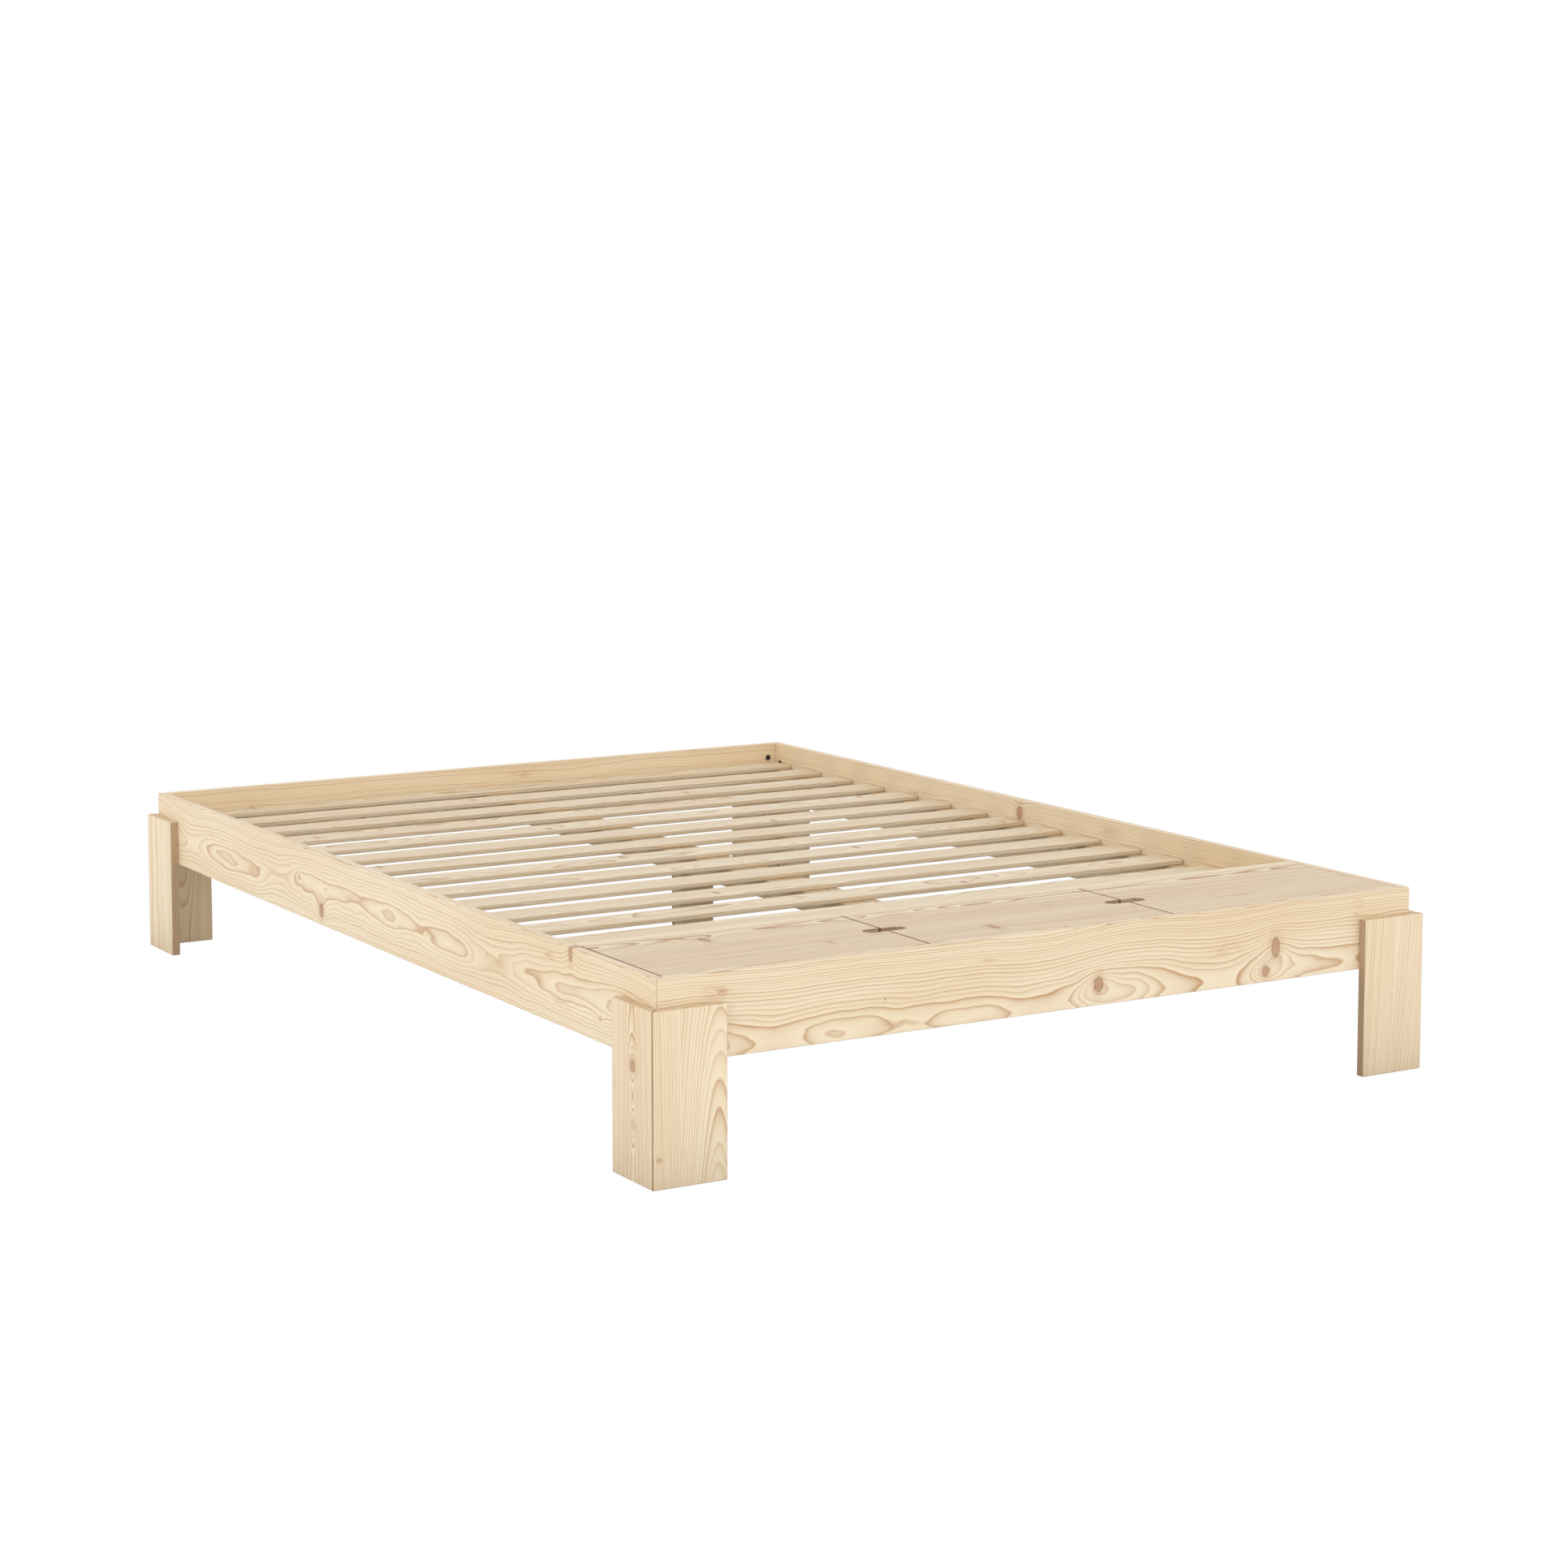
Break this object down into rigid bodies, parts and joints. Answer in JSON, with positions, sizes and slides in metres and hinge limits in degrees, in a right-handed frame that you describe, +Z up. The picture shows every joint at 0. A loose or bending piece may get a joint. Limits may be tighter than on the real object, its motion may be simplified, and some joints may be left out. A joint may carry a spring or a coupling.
{
  "type": "bed frame",
  "caption": "Low wooden double bed frame with mitred rails, L-shaped corner legs, a slatted deck, and a storage box across the foot under lift-off lids.",
  "frame": {"origin": "on the floor, under the middle of the frame", "axes": "+Y runs from the foot, where the storage box is, to the head; +X is to the right seen from the foot; +Z is up"},
  "size_m": [1.694, 2.414, 0.355],
  "materials": {
    "pine": "clear matt lacquer on planed pine",
    "beech": "turned, unfinished",
    "plywood": "sanded, unfinished",
    "zinc": "bright zinc plate",
    "dark_zinc": "dark die-cast zinc"
  },
  "bodies": {
    "frame": {"front_rail": "pine", "back_beam_block": "pine", "back_left_leg_end_board": "pine", "back_left_leg_side_board": "pine", "back_rail": "pine", "back_right_leg_end_board": "pine", "back_right_leg_side_board": "pine", "beam_dowels": "beech", "cam_dowels": "zinc", "cams": "dark_zinc", "centre_beam": "pine", "centre_leg": "pine", "front_beam_block": "pine", "front_floor_cleat": "pine", "front_left_leg_end_board": "pine", "front_left_leg_side_board": "pine", "front_lid_cleat": "pine", "front_right_leg_end_board": "pine", "front_right_leg_side_board": "pine", "left_rail": "pine", "left_slat_cleat": "pine", "leg_bolts": "zinc", "leg_inserts": "zinc", "long_cleat_screws": "zinc", "partition": "pine", "rear_floor_cleat": "pine", "rear_lid_cleat": "pine", "right_rail": "pine", "right_slat_cleat": "pine", "short_cleat_screws": "zinc", "slat_01": "pine", "slat_02": "pine", "slat_03": "pine", "slat_04": "pine", "slat_05": "pine", "slat_06": "pine", "slat_07": "pine", "slat_08": "pine", "slat_09": "pine", "slat_10": "pine", "slat_11": "pine", "slat_12": "pine", "slat_13": "pine", "slat_14": "pine", "slat_pins": "beech", "storage_floor": "plywood"},
    "lid_left": {"lid_left": "pine", "lid_left_batten_1": "pine", "lid_left_batten_2": "pine", "lid_left_screws": "zinc"},
    "lid_middle": {"lid_middle": "pine", "lid_middle_batten_1": "pine", "lid_middle_batten_2": "pine", "lid_middle_screws": "zinc"},
    "lid_right": {"lid_right": "pine", "lid_right_batten_1": "pine", "lid_right_batten_2": "pine", "lid_right_screws": "zinc"}
  },
  "joints": [
    {"name": "lid_left_lift", "type": "slide", "parent": "frame", "child": "lid_left", "axis": [0, 0, 1], "range_m": [0, 0.15]},
    {"name": "lid_middle_lift", "type": "slide", "parent": "frame", "child": "lid_middle", "axis": [0, 0, 1], "range_m": [0, 0.15]},
    {"name": "lid_right_lift", "type": "slide", "parent": "frame", "child": "lid_right", "axis": [0, 0, 1], "range_m": [0, 0.15]}
  ]
}
